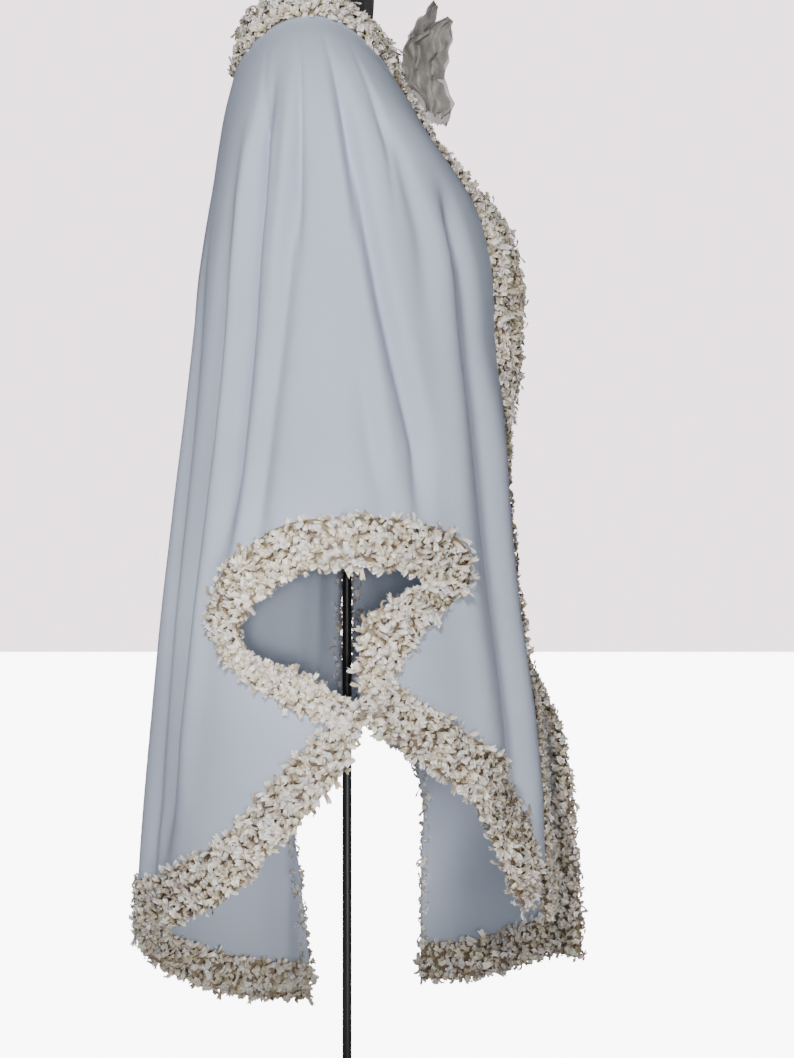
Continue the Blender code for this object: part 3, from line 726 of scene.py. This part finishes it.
def thread(points, radius):
    """A short bent thread of six sides along points, as points and faces."""
    points = np.asarray(points, float)
    way = unit(np.gradient(points, axis=0))
    side = unit(np.cross(way, THREAD_TILT))
    other = np.cross(way, side)
    angle = np.linspace(0, 2 * np.pi, THREAD_SIDES + 1)[None, :, None]
    ring = side[:, None] * np.cos(angle) + other[:, None] * np.sin(angle)
    ring = points[:, None] + radius * ring
    return ring.reshape(-1, 3), grid_faces(len(points), THREAD_SIDES + 1)


def make_threads(name, parts, finish):
    points, faces = put_together(parts)
    made = add_mesh(name, points, faces, finish)


def make_stitching(finish):
    """Two rows of stitches along each shoulder seam, and the tacks at the sides."""
    stitches = []
    for side in (RIGHT, LEFT):
        above, below = SEAM_MARGINS
        height = np.arange(NECK_HEIGHT - above, OPENING_TOP + below, -STITCH_STEP)
        middle = seam_turn(height)
        for shift in STITCH_TURNS:
            for top, turn in zip(height, middle + shift):
                turns = np.full(3, turn)
                heights = np.array([top, top - STITCH_LENGTH / 2, top - STITCH_LENGTH])
                line = cape_point(side, turns, heights)
                line += outward(side, turns, heights) * STITCH_HEIGHTS[:, None]
                stitches.append(thread(line, STITCH_RADIUS))
    make_threads("seam_stitches", stitches, finish)
    tacks = []
    for side, x, height in TACKS:
        turn = turn_at_x(np.array(x), np.array(height))
        centre = cape_point(side, turn, height)
        out = outward(side, turn, height)
        for k in range(TACK_THREADS):
            lean = rng.uniform(-0.5, 0.5)
            way = unit(np.array([math.cos(lean), 0.0, math.sin(lean)]))
            start = centre + np.array([0, 0, (k - TACK_THREADS // 2) * TACK_STEP])
            bend = np.linspace(-1, 1, 9)[:, None]
            line = start + way * bend * TACK_HALF + out * (TACK_RISE - TACK_SAG * bend**2)
            tacks.append(thread(line, TACK_RADIUS))
    make_threads("side_tacks", tacks, finish)


def shader(name, colour, roughness):
    """A new material, its nodes and links, and its surface shader."""
    made = bpy.data.materials.new(name)
    made.use_nodes = True
    nodes, links = made.node_tree.nodes, made.node_tree.links
    surface = nodes["Principled BSDF"]
    surface.inputs["Base Color"].default_value = (*colour, 1)
    surface.inputs["Roughness"].default_value = roughness
    return made, nodes, links, surface


def add_noise(nodes, links, scale, detail):
    place = nodes.new("ShaderNodeTexCoord")
    noise = nodes.new("ShaderNodeTexNoise")
    noise.inputs["Scale"].default_value = scale
    noise.inputs["Detail"].default_value = detail
    links.new(place.outputs["Object"], noise.inputs["Vector"])
    return noise.outputs["Fac"]


def add_ramp(nodes, links, source, stops):
    ramp = nodes.new("ShaderNodeValToRGB")
    elements = ramp.color_ramp.elements
    while len(elements) < len(stops):
        elements.new(0.5)
    for element, (place, colour) in zip(elements, stops):
        element.position = place
        element.color = (*colour, 1)
    links.new(source, ramp.inputs["Fac"])
    return ramp.outputs["Color"]


def add_bump(nodes, links, source, surface, strength, distance, below=None):
    bump = nodes.new("ShaderNodeBump")
    bump.inputs["Strength"].default_value = strength
    bump.inputs["Distance"].default_value = distance
    links.new(source, bump.inputs["Height"])
    if below is not None:
        links.new(below, bump.inputs["Normal"])
    links.new(bump.outputs["Normal"], surface.inputs["Normal"])
    return bump.outputs["Normal"]


def crepe_finish():
    made, nodes, links, surface = shader("crepe", (0.54, 0.64, 0.79), 0.82)
    cloudy = add_noise(nodes, links, 4.0, 3.0)
    stops = [(0.3, (0.46, 0.535, 0.655)), (0.7, (0.53, 0.61, 0.735))]
    ramp = add_ramp(nodes, links, cloudy, stops)
    links.new(ramp, surface.inputs["Base Color"])
    grain = add_noise(nodes, links, 900.0, 2.0)
    first = add_bump(nodes, links, grain, surface, 0.25, 0.0006)
    soft = add_noise(nodes, links, 14.0, 2.0)
    add_bump(nodes, links, soft, surface, 0.25, 0.006, first)
    surface.inputs["Subsurface Weight"].default_value = 0.06
    surface.inputs["Subsurface Radius"].default_value = (1.0, 0.93, 0.86)
    surface.inputs["Subsurface Scale"].default_value = 0.008
    return made


def ruffle_finish():
    """Satin ribbon: painted shade in its depths, painted highlights at its lips, cream to
    rose between.
    """
    made, nodes, links, surface = shader("ruffle", (0.8, 0.75, 0.62), 0.3)
    tone_and_painted_light = nodes.new("ShaderNodeAttribute")
    tone_and_painted_light.attribute_name = "tone_and_painted_light"
    # Each ramp runs from painted shade (dark brown at 0) through the ribbon's cream or rose
    # to a painted highlight (white at 1).
    cream = add_ramp(nodes, links, tone_and_painted_light.outputs["Fac"], [
        (0.0, (0.20, 0.14, 0.07)), (0.35, (0.58, 0.50, 0.33)),
        (0.65, (0.88, 0.83, 0.66)), (1.0, (1.0, 1.0, 0.96)),
    ])
    rose = add_ramp(nodes, links, tone_and_painted_light.outputs["Fac"], [
        (0.0, (0.17, 0.11, 0.07)), (0.35, (0.50, 0.42, 0.33)),
        (0.65, (0.84, 0.80, 0.74)), (1.0, (0.98, 0.99, 1.0)),
    ])
    patches = add_noise(nodes, links, 45.0, 3.0)
    share = add_ramp(nodes, links, patches, [
        (0.42, (0.0, 0.0, 0.0)), (0.62, (1.0, 1.0, 1.0)),
    ])
    mix = nodes.new("ShaderNodeMix")
    mix.data_type = "RGBA"
    usable = [socket for socket in mix.inputs if socket.enabled]
    first, second = (socket for socket in usable if socket.name in "AB")
    result = next(socket for socket in mix.outputs if socket.enabled)
    links.new(share, mix.inputs[0])
    links.new(cream, first)
    links.new(rose, second)
    links.new(result, surface.inputs["Base Color"])
    grain = add_noise(nodes, links, 500.0, 2.0)
    add_bump(nodes, links, grain, surface, 0.3, 0.0005)
    surface.inputs["Sheen Weight"].default_value = 0.2
    surface.inputs["Specular IOR Level"].default_value = 0.8
    return made


def organza_finish():
    made, nodes, links, surface = shader("organza", (0.40, 0.39, 0.35), 0.45)
    surface.inputs["Alpha"].default_value = 0.64
    weave = add_noise(nodes, links, 90.0, 2.0)
    stops = [(0.3, (0.21, 0.205, 0.175)), (0.7, (0.34, 0.345, 0.31))]
    ramp = add_ramp(nodes, links, weave, stops)
    links.new(ramp, surface.inputs["Base Color"])
    add_bump(nodes, links, weave, surface, 0.5, 0.001)
    return made


def jersey_finish():
    made, nodes, links, surface = shader("form_jersey", (0.012, 0.012, 0.016), 0.85)
    grain = add_noise(nodes, links, 700.0, 2.0)
    add_bump(nodes, links, grain, surface, 0.3, 0.0005)
    surface.inputs["Sheen Weight"].default_value = 0.15
    return made


def metal_finish():
    made, nodes, links, surface = shader("stand_metal", (0.02, 0.02, 0.022), 0.38)
    grain = add_noise(nodes, links, 120.0, 2.0)
    add_bump(nodes, links, grain, surface, 0.1, 0.0004)
    surface.inputs["Metallic"].default_value = 0.5
    return made


STAGE_GLOW = 0.1
STAGE_ROUGHNESS = 0.9


def plain_finish(name, low, high, glow, shine):
    """The stage: it glows for the camera, and only faintly onto the object."""
    made, nodes, links, surface = shader(name, low, STAGE_ROUGHNESS)
    surface.inputs["Emission Color"].default_value = (*shine, 1)
    seen = nodes.new("ShaderNodeLightPath")
    strength = nodes.new("ShaderNodeMath")
    strength.operation = "MULTIPLY_ADD"
    strength.inputs[1].default_value = glow - STAGE_GLOW
    strength.inputs[2].default_value = STAGE_GLOW
    links.new(seen.outputs["Is Camera Ray"], strength.inputs[0])
    links.new(strength.outputs[0], surface.inputs["Emission Strength"])
    surface.inputs["Specular IOR Level"].default_value = 0.1
    cloudy = add_noise(nodes, links, 0.4, 2.0)
    ramp = add_ramp(nodes, links, cloudy, [(0.35, low), (0.65, high)])
    links.new(ramp, surface.inputs["Base Color"])
    return made


def use_finish(node, finish):
    """Give a CAD node that stays its look."""
    made = bpy.data.objects[node]
    if not made.material_slots:
        made.data.materials.append(finish)
    for slot in made.material_slots:
        slot.material = finish


# The room: half its width, the floor's near end, the wall's place and height, metres.
ROOM_HALF = 16.0
ROOM_NEAR = -8.0
WALL_Y = 12.0
WALL_HEIGHT = 9.0


def make_room():
    floor = plain_finish(
        "floor_white", (0.88, 0.86, 0.88), (0.92, 0.90, 0.92), 9.0, (1.0, 0.97, 1.0)
    )
    wall = plain_finish(
        "wall_white", (0.82, 0.77, 0.80), (0.86, 0.81, 0.84), 3.0, (1.0, 0.84, 0.92)
    )
    near = [(-ROOM_HALF, ROOM_NEAR, 0), (ROOM_HALF, ROOM_NEAR, 0)]
    far = [(ROOM_HALF, WALL_Y, 0), (-ROOM_HALF, WALL_Y, 0)]
    high = [(ROOM_HALF, WALL_Y, WALL_HEIGHT), (-ROOM_HALF, WALL_Y, WALL_HEIGHT)]
    corners = {"floor": (near + far, floor), "wall": (far[::-1] + high, wall)}
    for name, (points, finish) in corners.items():
        mesh = bpy.data.meshes.new(name)
        mesh.from_pydata(points, [], [(0, 1, 2, 3)])
        mesh.materials.append(finish)
        made = bpy.data.objects.new(name, mesh)
        bpy.context.scene.collection.objects.link(made)


def aim(made, target):
    direction = Vector(target) - made.location
    made.rotation_euler = direction.to_track_quat("-Z", "Y").to_euler()


# Place, target, size, watts and colour.
SOFT_LIGHTS = {
    "key": ((-0.3, -1.9, 1.75), (0, 0, 0.9), 0.3, 37, (1.0, 0.965, 0.985)),
    "fill": ((0.9, -2.8, 0.3), (0, 0, 0.4), 0.8, 30, (1.0, 0.97, 0.95)),
}
# Place, target, watts and cone in degrees: they light the inside of the cape.
SPOTS = {
    "inside_front": ((-0.1, -2.7, 0.3), (0.12, 0.2, 0.36), 110, 6),
    "inside_back": ((0.75, -2.6, 0.35), (-0.13, 0.12, 0.27), 150, 8),
    "inside_arm": ((0.05, -3.1, 0.72), (-0.1, 0.25, 0.64), 330, 5),
}
SPOT_RADIUS = 0.12
SPOT_COLOUR = (1.0, 0.96, 0.92)
SKY_COLOUR = (0.92, 0.93, 0.97, 1)
SKY_STRENGTH = 0.07


def add_light(name, kind, place, target, watts, colour):
    data = bpy.data.lights.new(name, kind)
    data.energy = watts
    data.color = colour
    made = bpy.data.objects.new(name, data)
    made.location = place
    bpy.context.scene.collection.objects.link(made)
    aim(made, target)
    return data


def make_lights():
    for name, (place, target, size, watts, colour) in SOFT_LIGHTS.items():
        data = add_light(name, "AREA", place, target, watts, colour)
        data.shape = "SQUARE"
        data.size = size
    for name, (place, target, watts, cone) in SPOTS.items():
        data = add_light(name, "SPOT", place, target, watts, SPOT_COLOUR)
        data.spot_size = math.radians(cone)
        data.spot_blend = 1.0
        data.shadow_soft_size = SPOT_RADIUS
    world = bpy.data.worlds.new("room")
    world.use_nodes = True
    sky = world.node_tree.nodes["Background"]
    sky.inputs["Color"].default_value = SKY_COLOUR
    sky.inputs["Strength"].default_value = SKY_STRENGTH
    bpy.context.scene.world = world


# The camera stands level; half of the picture's height shows this much at the form.
CAMERA_PLACE = (0.065, -3.2, 0.759)
HALF_VIEW = 0.6877


def make_camera():
    data = bpy.data.cameras.new("camera")
    data.sensor_fit = "VERTICAL"
    data.angle = 2 * math.atan(HALF_VIEW / -CAMERA_PLACE[1])
    made = bpy.data.objects.new("camera", data)
    made.location = CAMERA_PLACE
    made.rotation_euler = (math.pi / 2, 0, 0)
    bpy.context.scene.collection.objects.link(made)
    bpy.context.scene.camera = made


def main():
    crepe, ruffle = crepe_finish(), ruffle_finish()
    organza, jersey, metal = organza_finish(), jersey_finish(), metal_finish()
    make_cloth(crepe)
    for node, lines in bands().items():
        make_ruffle(node, lines, ruffle)
    make_bow(organza)
    make_stitching(ruffle)
    use_finish("form_torso", jersey)
    for node in ("neck_cap", "stand_pole", "stand_base"):
        use_finish(node, metal)
    make_room()
    make_lights()
    make_camera()


main()
